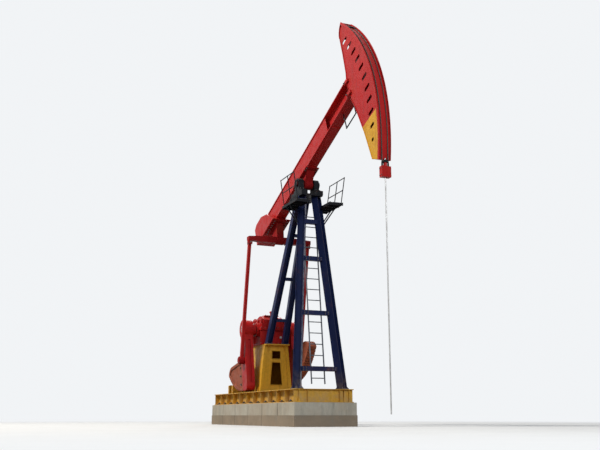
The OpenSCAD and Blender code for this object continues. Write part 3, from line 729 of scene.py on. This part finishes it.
# Gearbox cover: inspection lid, breather, input bearing covers, lugs at the sides and ribs on top
LID_X0, LID_X1, LID_Y = -0.86, -0.40, 0.22
BREATHER_X = -0.5
DOME_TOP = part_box("gearbox_cover")[1].z
LID_TOP = DOME_TOP + 0.022
mesh = bmesh.new()
add_box(mesh, (LID_X0, -LID_Y, DOME_TOP - 0.01), (LID_X1, LID_Y, LID_TOP), bevel=0.006)
add_cylinder(mesh, (BREATHER_X, 0, DOME_TOP + 0.02), UP, 0.022, 0.10, 16)
add_cylinder(mesh, (BREATHER_X, 0, DOME_TOP + 0.11), UP, 0.05, 0.045, 20, 0.03)
for s in SIDES:
    add_cylinder(mesh, (INPUT.x, s * 0.379, INPUT.z), (0, s, 0), 0.13, 0.035, 32)
    for x in (-1.33, -0.36):
        add_block(mesh, x, s * 0.375, SHAFT.z + 0.03, 0.05, 0.012, 0.21, bevel=0.006)
for s in SIDES:
    for x in evenly(-1.25, -0.35, 4):
        add_block(mesh, x, s * 0.31, SHAFT.z + 0.17, 0.008, 0.06, 0.13)
piece("gearbox_fittings", mesh, "frame", "red_paint")
lid_x, lid_y = evenly(LID_X0 + 0.03, LID_X1 - 0.03, 4), LID_Y - 0.03
spots = [((x, s * lid_y, LID_TOP), UP) for x in lid_x for s in SIDES]
spots += [((x, 0, LID_TOP), UP) for x in (lid_x[0], lid_x[-1])]
bolts("inspection_bolts", "frame", spots, 0.011)
mesh = bmesh.new()
add_cylinder(mesh, (gb_high.x - 0.06, 0.22, 2.56), FORWARD, 0.035, 0.03, 20)
add_cylinder(mesh, (gb_high.x - 0.06, -0.22, 2.44), FORWARD, 0.022, 0.05, 6)
piece("gauge_and_plug", mesh, "frame", "steel")

# Pedestal: base flanges with gussets and anchor bolts
PED_X0, PED_X1, PED_Y = -1.65, -0.02, 0.5
FLANGE_TOP, PED_GUSSET_TOP = SKID_TOP + 0.02, SKID_TOP + 0.17
mesh = bmesh.new()
for s in SIDES:
    y0, y1 = span(s, PED_Y - 0.02, PED_Y + 0.07)
    add_box(mesh, (PED_X0, y0, SKID_TOP), (PED_X1, y1, FLANGE_TOP), bevel=0.003)
    for x in evenly(PED_X0 + 0.12, PED_X1 - 0.12, 6):
        x0, x1 = x - GUSSET_HALF, x + GUSSET_HALF
        foot = (x0, x1, *span(s, PED_Y - 0.02, PED_Y + 0.06), FLANGE_TOP)
        top = (x0, x1, *span(s, PED_Y - 0.02, PED_Y - 0.008), PED_GUSSET_TOP)
        add_taper(mesh, foot, top)
piece("pedestal_flanges", mesh, "frame", "yellow_paint")
bolt_x = evenly(PED_X0 + 0.2, PED_X1 - 0.2, 6)
spots = [((x, s * (PED_Y + 0.04), FLANGE_TOP), UP) for s in SIDES for x in bolt_x]
bolts("pedestal_bolts", "frame", spots, 0.016)

# Raised rims round the two windows in the pedestal's front, by their corners' Y and Z
RIM_X = PED_X1 + 0.005
WINDOWS = {
    "window_rim_tall": [(-0.195, 1.145), (0.195, 1.145), (0.135, 1.81), (-0.135, 1.81)],
    "window_rim_small": [(-0.14, 1.90), (0.14, 1.90), (0.14, 2.14), (-0.14, 2.14)],
}
for name, corners in WINDOWS.items():
    mesh = bmesh.new()
    for a, b in zip(corners, corners[1:] + corners[:1]):
        add_tube(mesh, line((RIM_X, *a), (RIM_X, *b), 0.1), 0.012, 6)
    piece(name, mesh, "frame", "yellow_paint")

# Motor: cooling fins, but none over the feet and under the box, with end rings and the box's lid
MOTOR = Vector((-2.65, 0, 1.5))
FINS = 40
FIN_LOW, FIN_HIGH = (0.222, -0.27, -0.004), (0.258, 0.30, 0.004)
BOX_Y, BOX_LID, BOX_LID_THICK = -0.02, 1.82, 0.025
mesh = bmesh.new()
for a in (2 * math.pi * k / FINS for k in range(FINS)):
    if math.sin(a) > -0.65 and abs(a - math.pi / 2) >= 0.5:
        add_box(mesh, FIN_LOW, FIN_HIGH, turn_about(MOTOR, math.degrees(a)))
for y in (-0.30, 0.325):
    add_cylinder(mesh, MOTOR + Vector((0, y, 0)), (0, 1, 0), 0.245, 0.02, 40)
add_block(mesh, MOTOR.x, BOX_Y, BOX_LID, 0.12, 0.11, BOX_LID_THICK, bevel=0.004)
piece("motor_fins", mesh, "frame", "grey_paint")

# Motor rails on uprights, the fan's grille of five rings and six spokes, and bolts
MOTOR_FOOT_X = 0.175
RAIL_HALF, RAIL_THICK, RAIL_Z = 0.055, 0.012, SKID_TOP + 0.27
GRILLE_Y, GRILLE_WIRE = -0.446, 0.004
mesh = bmesh.new()
for x in (MOTOR.x - MOTOR_FOOT_X, MOTOR.x + MOTOR_FOOT_X):
    add_block(mesh, x, 0, RAIL_Z, RAIL_HALF, 0.50, RAIL_THICK, bevel=0.002)
    for y in (-0.35, 0.0, 0.35):
        add_block(mesh, x, y, SKID_TOP, RAIL_HALF, RAIL_THICK / 2, 0.272)
piece("motor_rails", mesh, "frame", "yellow_paint")
mesh = bmesh.new()
for r in (0.04, 0.08, 0.12, 0.16, 0.20):
    add_tube(mesh, around(MOTOR, r, GRILLE_Y, arc(0, 360, 25)), GRILLE_WIRE, 6)
for spoke in zip(around(MOTOR, 0.02, GRILLE_Y, SIXTHS), around(MOTOR, 0.205, GRILLE_Y, SIXTHS)):
    add_tube(mesh, spoke, GRILLE_WIRE, 6)
piece("fan_grille", mesh, "frame", "black_paint")
bolts("motor_bolts", "frame", four_bolts(MOTOR.x, (0.02,), 1.29, MOTOR_FOOT_X, 0.19), 0.018)
spots = four_bolts(MOTOR.x, (BOX_Y,), BOX_LID + BOX_LID_THICK, 0.095, 0.085)
bolts("terminal_bolts", "frame", spots, 0.008)

# Brake: drum face with rim, hub and ribs
DRUM = Vector((INPUT.x, -0.57, INPUT.z))
HUB_DEPTH = 0.035
mesh = bmesh.new()
add_tube(mesh, around(DRUM, 0.245, DRUM.y - 0.004, arc(0, 360, 49)), 0.014, 8)
add_cylinder(mesh, DRUM, (0, -1, 0), 0.085, HUB_DEPTH, 32)
add_cylinder(mesh, DRUM - Vector((0, HUB_DEPTH, 0)), (0, -1, 0), 0.05, 0.02, 32, 0.042)
for a in SIXTHS:
    add_box(mesh, (0.07, -0.022, -0.009), (0.235, 0.002, 0.009), turn_about(DRUM, math.degrees(a)), 0.003)
piece("brake_face", mesh, "frame", "red_paint")

# Brake band round the drum, with a lug at each end and a rod between the lugs
BAND_Y, BAND_HALF = -0.5175, 0.0275
BAND_IN, BAND_OUT = 0.262, 0.272
BAND_ENDS = (-60, 240)
mesh = bmesh.new()
edges = ((BAND_IN, -1), (BAND_IN, 1), (BAND_OUT, 1), (BAND_OUT, -1))
hoops = [around(DRUM, r, BAND_Y + way * BAND_HALF, arc(*BAND_ENDS, 56)) for r, way in edges]
add_rings(mesh, [[mesh.verts.new(p) for p in ring] for ring in zip(*hoops)])
for end in BAND_ENDS:
    turn = turn_about(Vector((DRUM.x, BAND_Y, DRUM.z)), end)
    add_box(mesh, (BAND_IN, -BAND_HALF, -0.012), (0.335, BAND_HALF, 0.012), turn, 0.003)
rod = [(DRUM.x + s * 0.20, BAND_Y, DRUM.z - 0.27) for s in SIDES]
add_tube(mesh, line(*rod, 0.1), 0.011, 10)
piece("brake_band", mesh, "frame", "black_paint")
bolts("brake_bolts", "frame", bolt_rings(DRUM, 0.066, HUB_DEPTH - DRUM.y, SIXTHS, (-1,)), 0.008)

# Belt guard: inner and outer face, and the radii and directions of its outline
GUARD_IN, GUARD_OUT = 0.475, 0.585
INPUT_R, MOTOR_R = 0.40, 0.21
belt = MOTOR - INPUT
LEAN = math.atan2(belt.z, belt.x)
WRAP = math.acos((INPUT_R - MOTOR_R) / belt.length)


def guard_outline(inset, y):
    """Closed outline of the guard, an inset inside its edge."""
    angles = evenly(LEAN + WRAP, LEAN - WRAP + 2 * math.pi, 30)
    points = around(INPUT, INPUT_R - inset, y, angles)
    points += around(MOTOR, MOTOR_R - inset, y, evenly(LEAN - WRAP, LEAN + WRAP, 18))
    return points + points[:1]


# Belt guard: rims, louvres, bolts and a strut on a foot
mesh = bmesh.new()
for y in (GUARD_IN + 0.006, GUARD_OUT - 0.004):
    add_tube(mesh, guard_outline(0.0, y), 0.009, 8)
along = turn_about(INPUT + Vector((0, GUARD_OUT, 0)), math.degrees(LEAN))
for u in evenly(0.25, 1.57, 12):
    for v in (-0.085, 0.085):
        add_box(mesh, (u, -0.004, v - 0.055), (u + 0.05, 0.012, v + 0.055), along, 0.005)
piece("guard_rim", mesh, "frame", "yellow_paint")
spots = [(p, (0, 1, 0)) for p in guard_outline(0.045, GUARD_OUT)[:-1:4]]
bolts("guard_bolts", "frame", spots, 0.010)
mesh = bmesh.new()
x, _, z = INPUT.lerp(MOTOR, 0.62)
add_box(mesh, (x - 0.03, GUARD_IN + 0.02, SKID_TOP), (x + 0.03, GUARD_OUT - 0.03, z - 0.24), bevel=0.004)
add_box(mesh, (x - 0.09, GUARD_IN, SKID_TOP), (x + 0.09, GUARD_OUT, SKID_TOP + 0.015))
piece("guard_strut", mesh, "frame", "yellow_paint")

# Cranks: bolts of the counterweights, which stand at other places on the two cranks
WEIGHT_SHIFTS = ((-1, 0.0), (1, -0.26))
WEIGHT_U, WEIGHT_Y, WEIGHT_V = (1.10, 1.35, 1.60), 0.835, 0.34
spots = []
for s, shift in WEIGHT_SHIFTS:
    spots += [(on_crank(u + shift, s * WEIGHT_Y, s * WEIGHT_V), (0, s, 0)) for u in WEIGHT_U]
bolts("weight_bolts", "cranks", spots, 0.032)

# Crank shaft: caps and bolts on its ends
SHAFT_END, SHAFT_CAP = 0.865, 0.010
spots = bolt_rings(SHAFT, 0.085, SHAFT_END + SHAFT_CAP, arc(CRANK_ANGLE, CRANK_ANGLE + 240, 3))
bolts("shaft_end_bolts", "cranks", spots, 0.008)
mesh = bmesh.new()
for s in SIDES:
    add_cylinder(mesh, (SHAFT.x, s * SHAFT_END, SHAFT.z), (0, s, 0), 0.12, SHAFT_CAP, 36)
piece("shaft_caps", mesh, "cranks", "steel")

# Wrist bearings: bolts on their outer faces and a flange round each
WRIST = on_crank(CRANK_R, 0, 0)
WRIST_FACE, WRIST_FLANGE = 1.02, 0.98
bolts("wrist_bolts", "equalizer", bolt_rings(WRIST, 0.096, WRIST_FACE, arc(20, 320, 6)), 0.010)
mesh = bmesh.new()
for s in SIDES:
    add_cylinder(mesh, (WRIST.x, s * WRIST_FLANGE, WRIST.z), (0, s, 0), 0.121, 0.012, 40)
piece("wrist_flanges", mesh, "equalizer", "red_paint")

# Equalizer: cheeks and pins that hold the pitmans, and bolts in its underside
PITMAN_Y, CHEEK_OFF, PIN_OFF = 0.94, 0.083, 0.115
EQUALIZER_LOW = TAIL_PIN.z - 0.094
cheeks, pins = bmesh.new(), bmesh.new()
for y in (-PITMAN_Y, PITMAN_Y):
    for way in SIDES:
        x = TAIL_PIN.x + way * CHEEK_OFF
        add_block(cheeks, x, y, TAIL_PIN.z - 0.19, 0.012, 0.05, 0.17, bevel=0.006)
    add_cylinder(pins, (TAIL_PIN.x - PIN_OFF, y, TAIL_PIN.z - 0.12), FORWARD, 0.028, 2 * PIN_OFF, 24)
# The cheeks get the darker red of painted shade
piece("pitman_cheeks", cheeks, "equalizer", "red_paint", RED_PAINTED_SHADE)
piece("pitman_pins", pins, "equalizer", "steel", DARK_BOLT)
spots = [((TAIL_PIN.x + i * 0.06, s * 0.2, EQUALIZER_LOW), DOWN) for s in SIDES for i in SIDES]
bolts("equalizer_bolts", "equalizer", spots, 0.018)

# Walking beam: bolts under the plates of the tail bracket and the saddle bracket
SECTION_DOWN = on_section(0, 0, -1) - PIVOT
TAIL_U, TAIL_V, SADDLE_V = -2.43, 0.16, 0.208
tail_u = evenly(TAIL_U - 0.35, TAIL_U + 0.35, 7)
spots = [(on_section(u, y, TAIL_V), SECTION_DOWN) for u in tail_u for y in (-0.2, 0.2)]
bolts("tail_bolts", "beam", spots, 0.020)
saddle_u = (-0.47, -0.37, 0.37, 0.47)
spots = [(on_section(u, y, SADDLE_V), SECTION_DOWN) for u in saddle_u for y in (-0.165, 0.165)]
bolts("saddle_plate_bolts", "beam", spots, 0.020)

# Walking beam: weld beads along the flanges and up the front end, lifting lugs and head clamps
SEAM_BACK, SEAM_FRONT, SEAM_LOW, SEAM_HIGH = -3.2, 1.94, 0.288, 0.777
FRONT_END, BEAD_STEP = 1.952, 0.03
CLAMP_U, CLAMP_V, CLAMP_Y = 3.40, (0.33, 0.73), 0.155
paths = []
for s in SIDES:
    for v in (SEAM_LOW, SEAM_HIGH):
        ends = [on_section(u, s * 0.1325, v) for u in (SEAM_BACK, SEAM_FRONT)]
        paths.append(line(*ends, BEAD_STEP))
    ends = [on_section(FRONT_END, s * 0.128, v) for v in (SEAM_LOW + 0.002, SEAM_HIGH - 0.002)]
    paths.append(line(*ends, BEAD_STEP))
welds("beam_welds", paths, 0.006)
mesh = bmesh.new()
for u in (-1.2, 1.3):
    for y in (-0.06, 0.06):
        add_block(mesh, u, y, 0.80, 0.06, 0.01, 0.10, SECTION, 0.008)
for s in SIDES:
    for v in CLAMP_V:
        add_block(mesh, CLAMP_U, s * CLAMP_Y, v - 0.05, 0.10, 0.02, 0.10, SECTION, 0.006)
piece("beam_lugs", mesh, "beam", "red_paint")
spots = [(on_section(CLAMP_U - 0.06, s * (CLAMP_Y + 0.02), v), (0, s, 0)) for s in SIDES for v in CLAMP_V]
bolts("head_clamp_bolts", "beam", spots, 0.022)

# Horsehead: weld seams behind the arc plate, in four lengths of so many degrees on each side
SEAM_R, SEAM_Y, SEAM_LENGTH = 4.503, 0.129, 15.4
paths = []
for s in SIDES:
    for a in evenly(BEAM_ANGLE - 26.8, BEAM_ANGLE + 19.4, 4):
        paths.append(around(PIVOT, SEAM_R, s * SEAM_Y, arc(a, a + SEAM_LENGTH, 34)))
welds("head_welds", paths, 0.007, HEAD_PAINT)

# Flat bars along the side plates' back edges and a cover over the head's tip, in the beam's frame
EDGE_THICK, EDGE_INNER, EDGE_OUTER, TIP_HALF = 0.012, 0.104, 0.142, 0.150
BACK_TOP = [(3.374, 0.950), (3.420, 1.150), (3.457, 1.740), (3.470, 2.300)]
BACK_LOW = [(3.767, -1.868), (3.682, -1.052), (3.502, -0.045), (3.386, 0.300)]
TIP = [
    (3.470, 2.300), (3.476, 2.380), (3.505, 2.470), (3.560, 2.556), (3.618, 2.612),
    (3.672, 2.648), (3.715, 2.652),
]
mesh = bmesh.new()
for s in SIDES:
    for bar in (BACK_TOP, BACK_LOW):
        add_strip(mesh, bar, *span(s, EDGE_INNER, EDGE_OUTER), EDGE_THICK, BEAM)
add_strip(mesh, TIP, -TIP_HALF, TIP_HALF, EDGE_THICK, BEAM)
piece("head_edges", mesh, "beam", "red_paint", HEAD_PAINT)

# Anchor of the wires at the arc's top end
ANCHOR_ANGLE = 31.0
mesh = bmesh.new()
end = turn_about(PIVOT, BEAM_ANGLE + ANCHOR_ANGLE)
add_box(mesh, (HEAD_R, -0.13, -0.02), (HEAD_R + 0.035, 0.13, 0.06), end, 0.005)
for y in (-WIRE_Y, WIRE_Y):
    add_box(mesh, (HEAD_R, y - 0.025, -0.09), (HEAD_R + 0.042, y + 0.025, 0.0), end, 0.005)
piece("wire_anchor", mesh, "beam", "black_paint")

# Carrier: rope sockets, rod clamp and bolts
BAR_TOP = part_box("carrier_bar")[1].z - 0.09
mesh = bmesh.new()
for y in (-WIRE_Y, WIRE_Y):
    add_cylinder(mesh, (ROD_X, y, BAR_TOP), UP, 0.024, 0.12, 20, 0.018)
add_block(mesh, ROD_X, 0, BAR_TOP + 0.09, 0.055, 0.065, 0.07, bevel=0.008)
piece("rod_clamp", mesh, "hanger", "black_paint")
spots = []
for dx, y, z in ((0.028, 0.065, 0.125), (0.04, 0.12, -0.05), (0.04, 0.12, -0.21)):
    spots += [((ROD_X + i * dx, s * y, BAR_TOP + z), (0, s, 0)) for s in SIDES for i in SIDES]
bolts("carrier_bolts", "hanger", spots, 0.011)

# Bridle: the hanging ropes, from where they leave the arc down to the carrier, on no body
mesh = bmesh.new()
for y in (-WIRE_Y, WIRE_Y):
    add_tube(mesh, line((ROD_X, y, PIVOT.z), (ROD_X, y, BAR_TOP), 0.02), WIRE_R, 20)
bridle = piece("bridle_ropes", mesh, None, "wire_rope")
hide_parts("bridle_wires")
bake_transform(bridle)


def aim(obj, way):
    """Turns a camera or a lamp to look along a direction."""
    obj.rotation_euler = Vector(way).to_track_quat("-Z", "Y").to_euler()


# Camera, at the photo's place
CAMERA_AT = (22.6, -8.79, 0.28)
VIEW_AZIMUTH, VIEW_PITCH = math.radians(157.1), math.radians(13.2)
LENS = 48.7
camera = add_object("camera", bpy.data.cameras.new("camera"))
bpy.context.scene.camera = camera
camera.data.lens = LENS
camera.data.sensor_width = 36
camera.data.clip_end = 400
camera.location = CAMERA_AT
level = math.cos(VIEW_PITCH)
aim(camera, (math.cos(VIEW_AZIMUTH) * level, math.sin(VIEW_AZIMUTH) * level, math.sin(VIEW_PITCH)))

# Lamps, all aimed at the middle of the unit
MIDDLE = Vector((1.5, 0, 4.5))


def lamp(name, place, size, power, colour):
    data = bpy.data.lights.new(name, "AREA")
    data.shape = "DISK"
    data.size = size
    data.energy = power
    data.color = colour
    made = add_object(name, data)
    made.location = place
    aim(made, MIDDLE - Vector(place))


lamp("key", (-3, -21, 27), 6, 10200, (1.0, 0.97, 0.91))
lamp("fill", (27, -4, 13), 12, 3100, (0.90, 0.95, 1.0))
lamp("back", (-18, 10, 16), 12, 1800, (0.93, 0.96, 1.0))

# World: the backdrop for rays that see it, and a weak ambient light for the rest
BACKDROP, BACKDROP_LEVEL = (0.93, 0.95, 0.97), 0.95
AMBIENT, AMBIENT_LEVEL = (0.86, 0.91, 1.0), 0.23


def seeing_rays(tree):
    """1 for camera, glossy and transmission rays and 0 for all others."""
    rays = tree.nodes.new("ShaderNodeLightPath").outputs
    share = rays["Is Camera Ray"]
    for kind in ("Is Glossy Ray", "Is Transmission Ray"):
        larger = tree.nodes.new("ShaderNodeMath")
        larger.operation = "MAXIMUM"
        tree.links.new(share, larger.inputs[0])
        tree.links.new(rays[kind], larger.inputs[1])
        share = larger.outputs[0]
    return share


def glowing(tree, kind, colour, level):
    """A background or emission node."""
    made = tree.nodes.new(kind)
    made.inputs["Color"].default_value = (*colour, 1)
    made.inputs["Strength"].default_value = level
    return made.outputs[0]


def mixed_shader(tree, share, a, b, output):
    """Mixes two shaders, b by its share, into an output's first socket."""
    made = tree.nodes.new("ShaderNodeMixShader")
    for i, socket in enumerate((share, a, b)):
        tree.links.new(socket, made.inputs[i])
    tree.links.new(made.outputs[0], output.inputs[0])


world = bpy.data.worlds.new("studio")
bpy.context.scene.world = world
world.use_nodes = True
tree = world.node_tree
tree.nodes.clear()
ambient = glowing(tree, "ShaderNodeBackground", AMBIENT, AMBIENT_LEVEL)
seen = glowing(tree, "ShaderNodeBackground", BACKDROP, BACKDROP_LEVEL)
mixed_shader(tree, seeing_rays(tree), ambient, seen, tree.nodes.new("ShaderNodeOutputWorld"))

# Floor, which passes into the backdrop's colour between two distances from the object
FLOOR_R, FLOOR_NEAR, FLOOR_FAR = 90, 8.0, 22.0
FLOOR_SEEN = ((0.71, 0.705, 0.69), (0.68, 0.675, 0.66))
FLOOR_BOUNCE = (0.19, 0.17, 0.14)
mesh = bmesh.new()
bmesh.ops.create_circle(mesh, cap_ends=True, segments=64, radius=FLOOR_R)
floor = from_mesh("floor", mesh)
ground = Shader("floor")
share = seeing_rays(ground.tree)
pale = ground.mix(ground.ramp(ground.noise(0.8, 6), 0.3, 0.7), *FLOOR_SEEN)
tone = ground.mix(share, FLOOR_BOUNCE, pale)
dress(floor, ground.finish(tone, 0.9, 0.0, 0.5, ground.noise(30), 0.1, 0.01, 0))
away = ground.node("ShaderNodeVectorMath", operation="LENGTH")
ground.join(ground.coords, "Object", away, 0)
fade = ground.times(share, ground.ramp(away.outputs["Value"], FLOOR_NEAR, FLOOR_FAR))
glow = glowing(ground.tree, "ShaderNodeEmission", BACKDROP, BACKDROP_LEVEL)
mixed_shader(ground.tree, fade, ground.bsdf.outputs["BSDF"], glow, ground.output)
floor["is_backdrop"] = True

bpy.context.scene.view_settings.view_transform = "Standard"

low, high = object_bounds()
